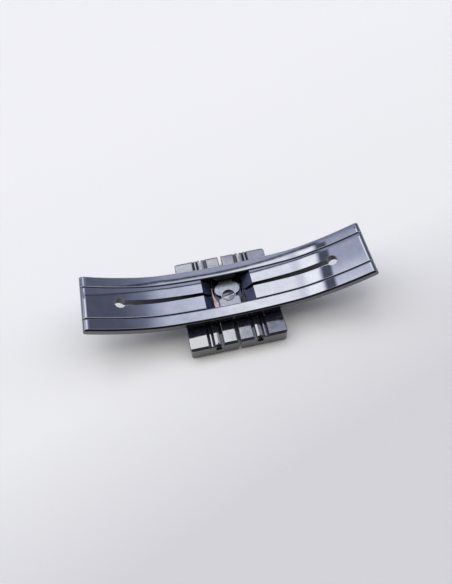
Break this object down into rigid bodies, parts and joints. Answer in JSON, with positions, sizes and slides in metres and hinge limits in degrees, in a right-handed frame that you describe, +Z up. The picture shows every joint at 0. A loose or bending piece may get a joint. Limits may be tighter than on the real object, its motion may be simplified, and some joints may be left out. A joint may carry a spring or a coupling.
{
  "type": "watch clasp",
  "caption": "Double-folding butterfly clasp for a watch bracelet: curved twin-rail bar, two slit wings, sprung catch and two decorated end links on pins.",
  "frame": {"origin": "centre of the footprint, on the table under the display faces of the end links", "axes": "+X along the bar to the right, +Y across the bar away from the viewer, +Z up through the skin side of the bar"},
  "size_m": [0.0454, 0.0168, 0.0097],
  "materials": {
    "black_rail": "mirror-polished steel with a hard black coating",
    "black_wing": "mirror-polished steel with a hard black coating",
    "black_ceramic": "polished black zirconia",
    "dark_steel": "satin steel with a black coating",
    "steel": "turned steel",
    "satin_steel": "fine grained steel",
    "copper_alloy": "rolled copper-alloy spring strip"
  },
  "bodies": {
    "frame": {"front_rail": "black_rail", "back_rail": "black_rail", "centre_bridge": "dark_steel", "bridge_rivets": "steel", "left_hinge_pin": "steel", "right_hinge_pin": "steel", "catch_plate": "satin_steel", "catch_screw": "satin_steel", "left_catch_spring": "copper_alloy", "right_catch_spring": "copper_alloy"},
    "left_wing_leaf": {"left_wing": "black_wing", "left_hook_block": "dark_steel"},
    "right_wing_leaf": {"right_wing": "black_wing", "right_hook_block": "dark_steel"},
    "left_link": {"left_end_link": "black_ceramic", "left_link_core": "steel", "left_link_pin": "steel", "left_link_collar": "steel"},
    "right_link": {"right_end_link": "black_ceramic", "right_link_core": "steel", "right_link_pin": "steel", "right_link_collar": "steel"}
  },
  "joints": [
    {"name": "left_wing_hinge", "type": "hinge", "parent": "frame", "child": "left_wing_leaf", "pos_m": [-0.02136, 0, 0.0087], "axis": [0, 1, 0], "range_deg": [0, 150], "deforming": ["left_catch_spring"]},
    {"name": "right_wing_hinge", "type": "hinge", "parent": "frame", "child": "right_wing_leaf", "pos_m": [0.02136, 0, 0.0087], "axis": [0, -1, 0], "range_deg": [0, 150], "deforming": ["right_catch_spring"]},
    {"name": "left_link_pivot", "type": "hinge", "parent": "left_wing_leaf", "child": "left_link", "pos_m": [-0.00337, 0, 0.0019], "axis": [0, 1, 0], "range_deg": [-4, 10]},
    {"name": "right_link_pivot", "type": "hinge", "parent": "right_wing_leaf", "child": "right_link", "pos_m": [0.00337, 0, 0.0019], "axis": [0, -1, 0], "range_deg": [-4, 10]}
  ]
}
